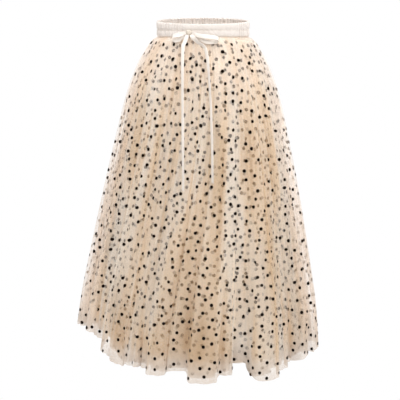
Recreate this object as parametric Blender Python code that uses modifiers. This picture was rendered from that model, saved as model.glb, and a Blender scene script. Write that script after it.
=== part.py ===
"""Midi skirt: two layers of gathered net over an opaque lining, on an elastic waistband with a tied ribbon.

The skirt hangs filled out, as if worn. Metres, +Z up, front towards -Y, wearer's left at +X.
The origin is the centre of the waist, halfway up the waistband. Each layer is a front and a back
panel, cut apart at the two side seams, and every panel is an open sheet thickened into a wall.
"""
import math

import bpy
from mathutils import Vector

# ---------------------------------------------------------------- driving dimensions
WAIST_HALF_WIDTH = 0.1120
WAIST_HALF_DEPTH = 0.0805
BAND_WALL = 0.0028
NET_WALL = 0.0011
LINING_WALL = 0.0011
SEAM_GAP = 0.0003
LAYER_SINK = 0.0012
BAND_FOOT = -0.0175
BAND_FRONT_RISE = 0.0065
GATHER_HEIGHT = 0.0012
SMOOTH_STRETCH_STEPS = 8
REFERENCE_DROP = 0.800

# One row for each height of the waistband, from its top edge to the seam with the skirt.
# z: height. bulge: how far the casing stands out. front_share: part of the front rise it takes.
BAND_COLUMNS = ("z", "bulge", "front_share")
BAND_ROWS = (
    (0.0195, 0.0000, 0.00),
    (0.0100, 0.0012, 0.25),
    (-0.0010, -0.0002, 0.75),
    (-0.0095, 0.0009, 0.85),
    (BAND_FOOT, 0.0000, 1.00),
)

# The waistband by stretches of its circumference. Angles run from the front centre, + to +X.
STRETCH_COLUMNS = ("start", "end", "gathers")
FRONT_STRETCHES = (
    (-90.0, -23.0, 11),
    (-23.0, 49.0, 0),
    (49.0, 90.0, 7),
)
BACK_STRETCHES = (
    (90.0, 270.0, 43),
)

# The skirt's profile, a row for each drop below the waist seam. sway: the centre's shift along X.
# gather: height of the fine gathers. fold: share of the hem's folds that is reached there.
# second, lining: how far the second net and the lining lie inside the outer net. Where the skirt
# springs out almost level from the seam, each lies below the one outside it by LAYER_SINK too.
PROFILE_COLUMNS = ("drop", "half_width", "half_depth", "sway", "gather", "fold", "second", "lining")
PROFILE_ROWS = (
    (0.000, 0.1130, 0.0822, 0.0000, 0.0006, 0.00, 0.0017, 0.0040),
    (0.012, 0.1290, 0.0970, 0.0003, 0.0020, 0.01, 0.0060, 0.0110),
    (0.036, 0.1445, 0.1110, 0.0006, 0.0030, 0.03, 0.0085, 0.0150),
    (0.066, 0.1610, 0.1250, 0.0007, 0.0034, 0.05, 0.0100, 0.0180),
    (0.127, 0.1850, 0.1470, 0.0007, 0.0032, 0.10, 0.0120, 0.0230),
    (0.219, 0.2095, 0.1710, 0.0002, 0.0028, 0.20, 0.0150, 0.0290),
    (0.375, 0.2445, 0.2050, -0.0015, 0.0018, 0.42, 0.0200, 0.0390),
    (0.567, 0.2825, 0.2440, -0.0050, 0.0008, 0.70, 0.0260, 0.0500),
    (0.697, 0.3060, 0.2690, -0.0085, 0.0003, 0.88, 0.0295, 0.0580),
    (0.800, 0.3180, 0.2830, -0.0125, 0.0000, 1.00, 0.0320, 0.0640),
)

# The folds at the hem, a row for each ridge or hollow, from the left side seam round the front to the
# right, and on round the back. width: degrees it takes. reach: how far its face lies inside the
# outline (0 is a full ridge). drop: length below the waist seam.
FOLD_COLUMNS = ("width", "reach", "drop")
LEFT_SIDE_FOLD = (9.0, 0.000, 0.752)
RIGHT_SIDE_FOLD = (9.0, 0.000, 0.812)
FRONT_FOLDS = (
    (6.0, -0.020, 0.742),
    (8.0, -0.002, 0.734),
    (6.0, -0.022, 0.732),
    (7.0, 0.000, 0.734),
    (6.0, -0.020, 0.748),
    (6.2, -0.004, 0.774),
    (8.0, -0.016, 0.800),
    (8.0, -0.010, 0.792),
    (5.0, -0.024, 0.796),
    (9.8, -0.004, 0.804),
    (10.3, -0.024, 0.796),
    (13.8, 0.000, 0.818),
    (8.0, -0.012, 0.806),
    (10.0, -0.042, 0.786),
    (14.1, 0.002, 0.826),
    (11.1, -0.022, 0.818),
    (5.4, -0.036, 0.812),
    (11.0, -0.002, 0.802),
    (7.0, -0.030, 0.806),
    (10.3, 0.000, 0.812),
)
BACK_FOLDS = (
    (7.0, -0.036, 0.810),
    (9.5, -0.002, 0.806),
    (8.0, -0.042, 0.802),
    (10.5, 0.000, 0.800),
    (7.5, -0.030, 0.794),
    (11.0, -0.004, 0.796),
    (8.5, -0.044, 0.788),
    (12.0, 0.002, 0.792),
    (8.0, -0.036, 0.784),
    (10.0, -0.006, 0.786),
    (7.5, -0.040, 0.778),
    (12.0, 0.000, 0.782),
    (8.5, -0.042, 0.772),
    (9.5, -0.004, 0.774),
    (7.0, -0.034, 0.766),
    (11.0, 0.000, 0.768),
    (8.0, -0.042, 0.760),
    (10.0, -0.002, 0.760),
    (6.5, -0.036, 0.754),
)
FOLD_STEPS = (0.0, 0.25, 0.50, 0.75)
FOLD_STEEPNESS = 0.14
FLAT_FACE = 1.12
SECOND_FOLD_SHARE = 0.5

# The layers. rings: shares of the drop at which a layer has a ring of points. inset: its profile column.
# fold_share: how much of the outer net's folds it takes. sink: how far below it starts.
LAYER_COLUMNS = ("name", "wall", "inset", "fold_share", "sink", "rings")
OUTER_LAYER = ("outer_tulle", NET_WALL, None, 1.0, 0.0, (0.0, 0.015, 0.05, 0.15, 0.36, 0.68, 1.0))
SECOND_LAYER = ("inner_tulle", NET_WALL, "second", SECOND_FOLD_SHARE, LAYER_SINK,
                (0.0, 0.015, 0.15, 0.50, 0.995))
LINING_LAYER = ("lining", LINING_WALL, "lining", 1.0, 2 * LAYER_SINK, (0.0, 0.015, 0.15, 0.50, 1.0))
LINING_STEPS = 30
LINING_WAVES = 5
LINING_WAVE_HEIGHT = 0.004

# The tied ribbon at the front, left of centre.
RIBBON_WIDTH = 0.0115
RIBBON_WALL = 0.0012
RIBBON_CLEARANCE = 0.0010
KNOT_CENTRE_X = -0.0343
KNOT_CENTRE_Z = -0.0015
KNOT_SIZE = Vector((0.0150, 0.0100, 0.0135))
KNOT_CAGE_GROWTH = 1.25
LOOP_LEAN_AT_KNOT = math.radians(15)
LOOP_LEAN_AT_END = math.radians(50)
LOOP_PINCH = 0.60
LOOP_PINCH_SHARE = 0.16
TAIL_TURN = math.radians(40)
PATH_STEPS = 3
LOOP_SWELL = 0.45
LOOP_SMOOTHINGS = 3

# Routes of the loops seen from the front: x, z, and how far the ribbon's middle stands out, in metres.
LEFT_LOOP = (
    (-0.0434, -0.0010, 0.0050), (-0.0530, -0.0042, 0.0064), (-0.0635, -0.0062, 0.0084),
    (-0.0705, -0.0082, 0.0086), (-0.0738, -0.0112, 0.0070), (-0.0741, -0.0155, 0.0036),
    (-0.0712, -0.0190, 0.0012),
    (-0.0650, -0.0205, 0.0004), (-0.0580, -0.0175, 0.0010), (-0.0510, -0.0105, 0.0018),
    (-0.0436, -0.0035, 0.0016),
)
RIGHT_LOOP = (
    (-0.0265, -0.0025, 0.0050), (-0.0130, -0.0068, 0.0064), (0.0060, -0.0088, 0.0084),
    (0.0240, -0.0102, 0.0092), (0.0345, -0.0125, 0.0084), (0.0380, -0.0165, 0.0048),
    (0.0345, -0.0205, 0.0012), (0.0220, -0.0228, 0.0002), (0.0070, -0.0215, 0.0002),
    (-0.0090, -0.0135, 0.0006), (-0.0265, -0.0050, 0.0014),
)

# Routes of the tails, (x, z).
LEFT_TAIL = (
    (-0.0385, -0.0088), (-0.0450, -0.0230), (-0.0490, -0.0340), (-0.0500, -0.0700), (-0.0498, -0.1200),
    (-0.0495, -0.1800), (-0.0490, -0.2500), (-0.0484, -0.3200), (-0.0480, -0.3710),
)
RIGHT_TAIL = (
    (-0.0290, -0.0094), (-0.0130, -0.0220), (0.0035, -0.0340), (0.0105, -0.0600), (0.0140, -0.1000),
    (0.0185, -0.1700), (0.0208, -0.2400), (0.0222, -0.3000), (0.0228, -0.3520),
)

CREAM = (0.93, 0.86, 0.77)
TAN = (0.60, 0.45, 0.32)
NET_CREAM = (0.86, 0.74, 0.62)
SECOND_CREAM = (0.78, 0.66, 0.54)


# ---------------------------------------------------------------- tables
def named(columns, row):
    """A table's row as a dictionary."""
    return dict(zip(columns, row))


def profile_at(drop):
    """The profile's columns at a drop, on smooth curves through the table's rows."""
    rows = PROFILE_ROWS
    last = len(rows) - 1
    index = 0
    while index < last - 1 and drop > rows[index + 1][0]:
        index += 1
    before, start = rows[max(index - 1, 0)], rows[index]
    end, after = rows[index + 1], rows[min(index + 2, last)]
    span = end[0] - start[0]
    part = (drop - start[0]) / span
    values = []
    for column in range(len(PROFILE_COLUMNS)):
        slope_in = (end[column] - before[column]) / (end[0] - before[0])
        slope_out = (after[column] - start[column]) / (after[0] - start[0])
        rise = end[column] - start[column]
        values.append(
            start[column]
            + part * span * slope_in
            + part ** 2 * (3 * rise - span * (2 * slope_in + slope_out))
            + part ** 3 * (span * (slope_in + slope_out) - 2 * rise)
        )
    return named(PROFILE_COLUMNS, values)


# ---------------------------------------------------------------- folds
def fold_stations(first_side, folds, last_side, start_angle):
    """Stations round one panel: each a dictionary with angle at the waist and hem, gather, reach and drop.

    The two side folds are cut through their middles by the side seams, so each gives half of itself.
    """
    rows = [named(FOLD_COLUMNS, row) for row in (first_side, *folds, last_side)]
    rows[0]["width"] /= 2
    rows[-1]["width"] /= 2
    spread = 180.0 / sum(row["width"] for row in rows)
    even_width = 180.0 / (len(rows) - 1)
    stations = []
    angle = start_angle
    for index, row in enumerate(rows):
        width = row["width"] * spread
        steps = FOLD_STEPS
        if index == 0:
            steps = [step for step in FOLD_STEPS if step >= 0.5]
            width *= 2
            angle -= width / 2
        if index == len(rows) - 1:
            steps = [step for step in FOLD_STEPS if step <= 0.5]
            width *= 2
        for step in steps:
            stations.append(fold_station(rows, index, step, angle, width, start_angle, even_width))
        angle += width
    return stations


def fold_station(rows, index, step, angle, width, start_angle, even_width):
    """One station of a fold: step runs from 0 to 1 across it."""
    row = rows[index]
    neighbour = rows[max(index - 1, 0)] if step < 0.5 else rows[min(index + 1, len(rows) - 1)]
    share = min(1.0, FLAT_FACE * math.sin(math.pi * step))
    eased = step - FOLD_STEEPNESS * math.sin(2 * math.pi * step)
    return {
        "waist_angle": start_angle + (index - 0.5 + step) * even_width,
        "hem_angle": angle + width * eased,
        "gather": -math.cos(2 * math.pi * step),
        "reach": (row["reach"] + neighbour["reach"]) / 2 * (1 - share) + row["reach"] * share,
        "drop": (row["drop"] + neighbour["drop"]) / 2 * (1 - share) + row["drop"] * share,
    }


def front_lift(angle):
    """How far the waist seam is lifted at an angle, most at the front centre."""
    return BAND_FRONT_RISE * max(0.0, math.cos(math.radians(angle))) ** 2


def skirt_point(station, share, layer):
    """A point of a layer's inner face at a share of the way from the waist seam to the hem."""
    drop = share * station["drop"]
    row = profile_at(share * REFERENCE_DROP)
    settle = share * share * (3 - 2 * share)
    angle = station["waist_angle"] + settle * (station["hem_angle"] - station["waist_angle"])
    radians = math.radians(angle)
    out = row["gather"] * station["gather"] + layer["fold_share"] * row["fold"] * station["reach"]
    out -= row.get(layer["inset"], 0.0)
    half_width = row["half_width"] + out
    half_depth = row["half_depth"] + out
    lift = front_lift(angle) * (1 - share)
    height = BAND_FOOT - SEAM_GAP - layer["wall"] - layer["sink"] + lift - drop
    return Vector((
        row["sway"] + half_width * math.sin(radians),
        -half_depth * math.cos(radians),
        height,
    ))


def part_at_seams(grid, panel_side):
    """Pull a panel's two edges back from the side seams by half the seam gap."""
    for row in grid:
        for point in (row[0], row[-1]):
            point.y = panel_side * SEAM_GAP / 2


def lining_stations(start_angle, drops):
    """Stations round one lining panel: an even ring with a few soft waves."""
    stations = []
    for step in range(LINING_STEPS + 1):
        share = step / LINING_STEPS
        angle = start_angle + 180.0 * share
        wave = math.cos(2 * math.pi * LINING_WAVES * share)
        stations.append({
            "waist_angle": angle,
            "hem_angle": angle,
            "gather": 0.0,
            "reach": LINING_WAVE_HEIGHT * (wave - 1) / 2,
            "drop": drops[0] + (drops[1] - drops[0]) * share,
        })
    return stations


# ---------------------------------------------------------------- waistband
def band_stations(stretches):
    """Stations round one half of the waistband: an angle and the gather's height there."""
    stations = []
    for stretch in (named(STRETCH_COLUMNS, row) for row in stretches):
        steps = 2 * stretch["gathers"] or SMOOTH_STRETCH_STEPS
        for step in range(steps):
            angle = stretch["start"] + (stretch["end"] - stretch["start"]) * step / steps
            ridge = (1 if step % 2 == 0 else -1) if stretch["gathers"] else 0
            stations.append((angle, ridge))
    stations.append((stretches[-1][1], 1))
    return stations


def band_point(angle, ridge, row):
    """A point of the waistband's inner face."""
    radians = math.radians(angle)
    out = row["bulge"] + GATHER_HEIGHT / 2 * ridge
    return Vector((
        (WAIST_HALF_WIDTH + out) * math.sin(radians),
        -(WAIST_HALF_DEPTH + out) * math.cos(radians),
        row["z"] + row["front_share"] * front_lift(angle),
    ))


# ---------------------------------------------------------------- ribbon
def front_surface(x, z, reach_either_side, stations):
    """How far out the skirt's front face lies at a place seen from the front.

    It is read from the outer net's own points, as the largest value within reach_either_side of x.
    """
    below = BAND_FOOT + BAND_FRONT_RISE - z
    out = 0.0
    if below < reach_either_side:
        half_width = WAIST_HALF_WIDTH + BAND_WALL
        half_depth = WAIST_HALF_DEPTH + BAND_WALL + GATHER_HEIGHT
        out = half_depth * math.sqrt(1 - (x / half_width) ** 2)
    if below > 0:
        outer = named(LAYER_COLUMNS, OUTER_LAYER)
        points = [skirt_point(station, below / station["drop"], outer) for station in stations]
        for left, right in zip(points, points[1:]):
            for place in (x - reach_either_side, x, x + reach_either_side):
                if left.x <= place <= right.x:
                    part = (place - left.x) / (right.x - left.x)
                    out = max(out, -left.y - part * (right.y - left.y) + NET_WALL)
            if abs(left.x - x) < reach_either_side:
                out = max(out, -left.y + NET_WALL)
    return out


def smooth_route(route):
    """Points on a smooth curve through a route's own points."""
    points = []
    for index in range(len(route) - 1):
        before = Vector(route[max(index - 1, 0)])
        start = Vector(route[index])
        end = Vector(route[index + 1])
        after = Vector(route[min(index + 2, len(route) - 1)])
        for step in range(PATH_STEPS):
            part = step / PATH_STEPS
            points.append(
                start
                + part * (end - before) / 2
                + part ** 2 * (before - 2.5 * start + 2 * end - 0.5 * after)
                + part ** 3 * (-before + 3 * start - 3 * end + after) / 2
            )
    points.append(Vector(route[-1]))
    return points


def tail_depths(places, stations):
    """How far out a tail lies at each place: on the largest face near it."""
    surface = [front_surface(x, z, RIBBON_WIDTH / 2, stations) for x, z in places]
    return [max(surface[max(index - 1, 0):index + 2]) for index in range(len(surface))]


def loop_grid(route, stations):
    """Two rows of points for a loop: level with the knot at its ends, clear of the skirt's spring between.

    The ribbon faces the front, narrower at the knot and leaning back more towards its far end.
    """
    knot = front_surface(KNOT_CENTRE_X, KNOT_CENTRE_Z, 0.0, stations)
    places = smooth_route(route)
    last = len(places) - 1
    lowest = min(place.y for place in places)
    depths = []
    halves = []
    for index, (x, z, out) in enumerate(places):
        share = index / last
        arch = math.sin(math.pi * share)
        lean = LOOP_LEAN_AT_KNOT + (LOOP_LEAN_AT_END - LOOP_LEAN_AT_KNOT) * arch ** 2
        opened = math.sin(math.pi / 2 * min(share / LOOP_PINCH_SHARE, (1 - share) / LOOP_PINCH_SHARE, 1))
        half = RIBBON_WIDTH / 2 * (LOOP_PINCH + (1 - LOOP_PINCH) * opened)
        across = Vector((0.0, -math.sin(lean), -math.cos(lean))) * half
        clear = front_surface(x, lowest, RIBBON_WIDTH / 2, stations)
        foot = front_surface(x, z + across.z, RIBBON_WIDTH / 2, stations) + across.y
        head = front_surface(x, z - across.z, RIBBON_WIDTH / 2, stations) - across.y
        depth = max(knot + (clear - knot) * arch ** LOOP_SWELL, foot, head)
        depths.append(depth + RIBBON_CLEARANCE + RIBBON_WALL / 2 + out)
        halves.append(across)
    for _ in range(LOOP_SMOOTHINGS):
        middle = [(a + 2 * b + c) / 4 for a, b, c in zip(depths, depths[1:], depths[2:])]
        depths = [depths[0], *middle, depths[-1]]
    centres = [Vector((place.x, -depth, place.y)) for place, depth in zip(places, depths)]
    rows = [[], []]
    for index, (centre, across) in enumerate(zip(centres, halves)):
        along = (centres[min(index + 1, last)] - centres[max(index - 1, 0)]).normalized()
        square = across - across.dot(along) * along
        square = square.normalized() * across.length
        rows[0].append(centre - square)
        rows[1].append(centre + square)
    return rows


def tail_grid(route, stations):
    """Two rows of points for a tail: half turned, on the largest face of the skirt near each place."""
    half = RIBBON_WIDTH / 2 * Vector((math.cos(TAIL_TURN), -math.sin(TAIL_TURN), 0.0))
    stand = RIBBON_CLEARANCE + RIBBON_WALL / 2 + abs(half.y)
    places = smooth_route(route)
    rows = [[], []]
    for (x, z), depth in zip(places, tail_depths(places, stations)):
        centre = Vector((x, -depth - stand, z))
        rows[0].append(centre - half)
        rows[1].append(centre + half)
    return rows


# ---------------------------------------------------------------- building
def material(name, colour, roughness):
    """A plain Principled material."""
    made = bpy.data.materials.new(name)
    made.use_nodes = True
    shader = made.node_tree.nodes["Principled BSDF"]
    shader.inputs["Base Color"].default_value = (*colour, 1.0)
    shader.inputs["Roughness"].default_value = roughness
    shader.inputs["Metallic"].default_value = 0.0
    made.diffuse_color = (*colour, 1.0)
    return made


def link(name, mesh, collection, finish):
    """An object for a mesh, in the collection, with its material."""
    body = bpy.data.objects.new(name, mesh)
    collection.objects.link(body)
    mesh.materials.append(finish)
    mesh.shade_smooth()
    return body


def sheet(name, grid, wall, offset, collection, finish):
    """An open sheet through a grid of points, thickened into a wall."""
    across = len(grid[0])
    points = [point for row in grid for point in row]
    faces = []
    for down in range(len(grid) - 1):
        for along in range(across - 1):
            corner = down * across + along
            faces.append((corner, corner + across, corner + across + 1, corner + 1))
    mesh = bpy.data.meshes.new(name)
    mesh.from_pydata(points, [], faces)
    body = link(name, mesh, collection, finish)
    thicken = body.modifiers.new("wall", "SOLIDIFY")
    thicken.thickness = wall
    thicken.offset = offset
    thicken.use_even_offset = True
    return body


def build_layer(layer, side, panel_side, stations, collection, finish):
    """One panel of a skirt layer."""
    grid = [[skirt_point(station, share, layer) for station in stations] for share in layer["rings"]]
    part_at_seams(grid, panel_side)
    sheet(layer["name"] + "_" + side, grid, layer["wall"], 1.0, collection, finish)


def build_band(side, panel_side, stretches, collection, finish):
    """One half of the waistband."""
    stations = band_stations(stretches)
    rows = [named(BAND_COLUMNS, values) for values in BAND_ROWS]
    grid = [[band_point(angle, ridge, row) for angle, ridge in stations] for row in rows]
    part_at_seams(grid, panel_side)
    sheet("waistband_" + side, grid, BAND_WALL, 1.0, collection, finish)


def build_knot(stations, collection, finish):
    """The knot: a soft block on the waistband's front."""
    bpy.ops.mesh.primitive_cube_add(size=1.0)
    knot = bpy.context.object
    knot.name = knot.data.name = "bow_knot"
    for owner in list(knot.users_collection):
        owner.objects.unlink(knot)
    collection.objects.link(knot)
    surface = front_surface(KNOT_CENTRE_X, KNOT_CENTRE_Z, 0.0, stations)
    depth = surface + SEAM_GAP + KNOT_SIZE.y / 2
    for vertex in knot.data.vertices:
        vertex.co = Vector(a * b for a, b in zip(vertex.co, KNOT_SIZE * KNOT_CAGE_GROWTH))
    knot.location = (KNOT_CENTRE_X, -depth, KNOT_CENTRE_Z)
    knot.data.materials.append(finish)
    knot.data.shade_smooth()
    soft = knot.modifiers.new("soft", "SUBSURF")
    soft.levels = soft.render_levels = 2


def build_ribbons(stations, collection, finish):
    """Two loops and two hanging tails."""
    pieces = (
        ("bow_loop_left", LEFT_LOOP, loop_grid),
        ("bow_loop_right", RIGHT_LOOP, loop_grid),
        ("tie_tail_left", LEFT_TAIL, tail_grid),
        ("tie_tail_right", RIGHT_TAIL, tail_grid),
    )
    for name, route, grid_of in pieces:
        sheet(name, grid_of(route, stations), RIBBON_WALL, 0.0, collection, finish)


def build():
    """The whole skirt."""
    for old in list(bpy.data.objects):
        bpy.data.objects.remove(old, do_unlink=True)
    collection = bpy.data.collections.new("tulle_midi_skirt")
    bpy.context.scene.collection.children.link(collection)

    net = material("net", NET_CREAM, 0.8)
    second_net = material("second_net", SECOND_CREAM, 0.8)
    satin = material("lining", TAN, 0.5)
    casing = material("waistband", CREAM, 0.7)
    ribbon = material("ribbon", CREAM, 0.6)
    outer, second, lining = (
        named(LAYER_COLUMNS, row) for row in (OUTER_LAYER, SECOND_LAYER, LINING_LAYER)
    )
    halves = (
        ("front", -1, -90.0, LEFT_SIDE_FOLD, FRONT_FOLDS, RIGHT_SIDE_FOLD, FRONT_STRETCHES),
        ("back", 1, 90.0, RIGHT_SIDE_FOLD, BACK_FOLDS, LEFT_SIDE_FOLD, BACK_STRETCHES),
    )
    for side, panel_side, start, first, folds, last, stretches in halves:
        folded = fold_stations(first, folds, last, start)
        even = lining_stations(start, (folded[0]["drop"], folded[-1]["drop"]))
        build_layer(outer, side, panel_side, folded, collection, net)
        build_layer(second, side, panel_side, folded, collection, second_net)
        build_layer(lining, side, panel_side, even, collection, satin)
        build_band(side, panel_side, stretches, collection, casing)
    front = fold_stations(LEFT_SIDE_FOLD, FRONT_FOLDS, RIGHT_SIDE_FOLD, -90.0)
    build_knot(front, collection, ribbon)
    build_ribbons(front, collection, ribbon)


build()
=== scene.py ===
"""Looks of the tulle midi skirt: dotted net over a satin lining, gathered waistband and a tied ribbon.

Metres, +Z up, front towards -Y. Every cloth surface follows the same named sizes and tables as the
solids of the part, with finer pleats, stitches, dots and folds worked out by formulas.
"""
import math

import bmesh
import bpy
import numpy as np
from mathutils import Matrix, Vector


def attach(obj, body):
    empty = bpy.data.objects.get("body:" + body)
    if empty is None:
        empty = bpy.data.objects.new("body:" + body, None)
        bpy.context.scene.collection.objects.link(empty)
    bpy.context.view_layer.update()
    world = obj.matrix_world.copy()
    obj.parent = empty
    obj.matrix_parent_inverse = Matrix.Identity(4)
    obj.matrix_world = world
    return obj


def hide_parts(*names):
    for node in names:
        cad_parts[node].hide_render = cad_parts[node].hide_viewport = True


DOT_SEED = 42

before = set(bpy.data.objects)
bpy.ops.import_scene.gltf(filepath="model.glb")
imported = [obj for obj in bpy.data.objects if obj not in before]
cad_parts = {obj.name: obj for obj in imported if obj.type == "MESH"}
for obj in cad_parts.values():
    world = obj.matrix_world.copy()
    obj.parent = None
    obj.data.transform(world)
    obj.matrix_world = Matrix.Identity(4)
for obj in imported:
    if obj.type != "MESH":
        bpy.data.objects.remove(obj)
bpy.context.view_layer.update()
random = np.random.default_rng(DOT_SEED)

# ---- sizes shared with the part
WAIST_HALF_WIDTH = 0.1120
WAIST_HALF_DEPTH = 0.0805
BAND_WALL = 0.0028
NET_WALL = 0.0011
SEAM_GAP = 0.0003
LAYER_SINK = 0.0012
BAND_TOP = 0.0195
BAND_GROOVE = -0.0010
BAND_FOOT = -0.0175
BAND_FRONT_RISE = 0.0065
BAND_HEIGHT = BAND_TOP - BAND_FOOT
SEAM_HEIGHT = BAND_FOOT - SEAM_GAP - NET_WALL
REFERENCE_DROP = 0.800

# The skirt's profile, a row for each drop below the waist seam. sway: the centre's shift along X.
# gather: height of the wide gathers. fold: share of the hem's folds that is reached there.
# second, lining: how far the second net and the lining lie inside the outer net. ply: how far the
# second net's own inner ply lies inside it. wide, narrow, crease: depth of the three kinds of
# pleats. cover: how much light one ply of net stops.
PROFILE_COLUMNS = (
    "drop", "half_width", "half_depth", "sway", "gather", "fold", "second", "lining", "ply",
    "wide", "narrow", "crease", "cover",
)
PROFILE_ROWS = (
    (0.000, 0.1130, 0.0822, 0.0000, 0.0004, 0.00, 0.0017, 0.0040, 0.0004, 0.0002, 0.0006, 0.0003, 0.60),
    (0.012, 0.1290, 0.0970, 0.0003, 0.0010, 0.01, 0.0060, 0.0110, 0.0008, 0.0010, 0.0015, 0.0004, 0.50),
    (0.036, 0.1445, 0.1110, 0.0006, 0.0014, 0.03, 0.0085, 0.0150, 0.0006, 0.0018, 0.0020, 0.0006, 0.46),
    (0.066, 0.1610, 0.1250, 0.0007, 0.0016, 0.05, 0.0100, 0.0180, 0.0007, 0.0028, 0.0026, 0.0007, 0.44),
    (0.127, 0.1850, 0.1470, 0.0007, 0.0016, 0.10, 0.0120, 0.0230, 0.0015, 0.0042, 0.0034, 0.0009, 0.43),
    (0.219, 0.2095, 0.1710, 0.0002, 0.0014, 0.20, 0.0150, 0.0290, 0.0022, 0.0055, 0.0048, 0.0011, 0.43),
    (0.375, 0.2445, 0.2050, -0.0015, 0.0010, 0.42, 0.0200, 0.0390, 0.0040, 0.0070, 0.0055, 0.0012, 0.42),
    (0.567, 0.2825, 0.2440, -0.0050, 0.0006, 0.70, 0.0260, 0.0500, 0.0055, 0.0085, 0.0060, 0.0012, 0.41),
    (0.697, 0.3060, 0.2690, -0.0085, 0.0003, 0.88, 0.0295, 0.0580, 0.0065, 0.0090, 0.0060, 0.0011, 0.46),
    (0.800, 0.3180, 0.2830, -0.0125, 0.0000, 1.00, 0.0320, 0.0640, 0.0075, 0.0090, 0.0050, 0.0008, 0.86),
)

# The folds at the hem, from the left side seam round the front to the right, and on round the back.
# width: degrees it takes. reach: how far its face lies inside the outline. drop: length below the seam.
FOLD_COLUMNS = ("width", "reach", "drop")
LEFT_SIDE_FOLD = (9.0, 0.000, 0.752)
RIGHT_SIDE_FOLD = (9.0, 0.000, 0.812)
FRONT_FOLDS = (
    (6.0, -0.020, 0.742), (8.0, -0.002, 0.734), (6.0, -0.022, 0.732), (7.0, 0.000, 0.734),
    (6.0, -0.020, 0.748), (6.2, -0.004, 0.774), (8.0, -0.016, 0.800), (8.0, -0.010, 0.792),
    (5.0, -0.024, 0.796), (9.8, -0.004, 0.804), (10.3, -0.024, 0.796), (13.8, 0.000, 0.818),
    (8.0, -0.012, 0.806), (10.0, -0.042, 0.786), (14.1, 0.002, 0.826), (11.1, -0.022, 0.818),
    (5.4, -0.036, 0.812), (11.0, -0.002, 0.802), (7.0, -0.030, 0.806), (10.3, 0.000, 0.812),
)
BACK_FOLDS = (
    (7.0, -0.036, 0.810), (9.5, -0.002, 0.806), (8.0, -0.042, 0.802), (10.5, 0.000, 0.800),
    (7.5, -0.030, 0.794), (11.0, -0.004, 0.796), (8.5, -0.044, 0.788), (12.0, 0.002, 0.792),
    (8.0, -0.036, 0.784), (10.0, -0.006, 0.786), (7.5, -0.040, 0.778), (12.0, 0.000, 0.782),
    (8.5, -0.042, 0.772), (9.5, -0.004, 0.774), (7.0, -0.034, 0.766), (11.0, 0.000, 0.768),
    (8.0, -0.042, 0.760), (10.0, -0.002, 0.760), (6.5, -0.036, 0.754),
)
FOLD_STEEPNESS = 0.15
FOLD_FLATNESS = 1.5


# ---- tables and smooth values
def table_arrays(columns, rows):
    """A table's columns as arrays."""
    return {name: np.array([row[i] for row in rows]) for i, name in enumerate(columns)}


PROFILE = table_arrays(PROFILE_COLUMNS, PROFILE_ROWS)
WANDER_COUNT = 200


def profile(column, drops):
    """A profile column at an array of drops, on smooth curves through the table's rows."""
    knots, values = PROFILE["drop"], PROFILE[column]
    last = len(knots) - 1
    index = np.clip(np.searchsorted(knots, drops, side="right") - 1, 0, last - 1)
    before, after = np.maximum(index - 1, 0), np.minimum(index + 2, last)
    span = knots[index + 1] - knots[index]
    part = (drops - knots[index]) / span
    slope_in = (values[index + 1] - values[before]) / (knots[index + 1] - knots[before])
    slope_out = (values[after] - values[index]) / (knots[after] - knots[index])
    rise = values[index + 1] - values[index]
    return (
        values[index]
        + part * span * slope_in
        + part ** 2 * (3 * rise - span * (2 * slope_in + slope_out))
        + part ** 3 * (span * (slope_in + slope_out) - 2 * rise)
    )


def eased(part):
    """A share from 0 to 1 with soft ends."""
    return part * part * (3 - 2 * part)


def blend(first, second, share):
    """Values between two others, by a share."""
    return first * (1 - share) + second * share


def unit(vectors):
    """Vectors of length 1 that point the same way."""
    return vectors / np.linalg.norm(vectors, axis=-1, keepdims=True)


def wander(positions, seed):
    """Smooth random values between -1 and 1 along positions from 0 on, a new one at each whole number."""
    values = np.random.default_rng(seed).uniform(-1, 1, WANDER_COUNT)
    index = np.floor(positions).astype(int)
    part = eased(positions - index)
    return blend(values[index], values[index + 1], part)


def field(across, down, seed, columns, rows):
    """Smooth random values from 0 to 1 over a grid: across from 0 to columns, down from 0 to 1."""
    values = np.random.default_rng(seed).random((rows + 1, columns + 3))
    column = np.clip(np.floor(across).astype(int), 0, columns)
    row = np.clip(np.floor(down * rows).astype(int), 0, rows - 1)
    part = eased(across - column)
    level = eased(np.clip(down * rows - row, 0, 1))
    upper = blend(values[row, column], values[row, column + 1], part)
    lower = blend(values[row + 1, column], values[row + 1, column + 1], part)
    return blend(upper, lower, level)


# ---- meshes and pieces
def add_object(name, data):
    """An object in the scene."""
    made = bpy.data.objects.new(name, data)
    bpy.context.scene.collection.objects.link(made)
    return made


def grid_mesh(name, points, wrap_down=False, **values):
    """A smooth mesh through a grid of points [rows, columns, 3], with a plain UV map and values."""
    rows, columns = points.shape[:2]
    across, down = columns - 1, rows - 1 + wrap_down
    cells = np.stack(np.meshgrid(np.arange(across), np.arange(down)), axis=-1).reshape(-1, 1, 2)
    corners = cells + [(0, 0), (0, 1), (1, 1), (1, 0)]
    quads = corners[..., 1] % rows * columns + corners[..., 0]
    mesh = bpy.data.meshes.new(name)
    mesh.vertices.add(rows * columns)
    mesh.vertices.foreach_set("co", points.reshape(-1).astype(np.float32))
    mesh.loops.add(quads.size)
    mesh.loops.foreach_set("vertex_index", quads.reshape(-1).astype(np.int32))
    mesh.polygons.add(len(quads))
    mesh.polygons.foreach_set("loop_start", np.arange(0, quads.size, 4, dtype=np.int32))
    mesh.update(calc_edges=True)
    uv = corners / (across, down) * (1, -1) + (0, 1)
    mesh.uv_layers.new(name="UVMap").data.foreach_set("uv", uv.reshape(-1).astype(np.float32))
    for key, numbers in values.items():
        put_value(mesh, key, numbers)
    mesh.shade_smooth()
    return mesh


def finish_mesh(body, mesh):
    """Put an edited body back into its mesh, with its faces turned out."""
    bmesh.ops.recalc_face_normals(body, faces=body.faces[:])
    body.to_mesh(mesh)
    body.free()
    mesh.shade_smooth()


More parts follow.
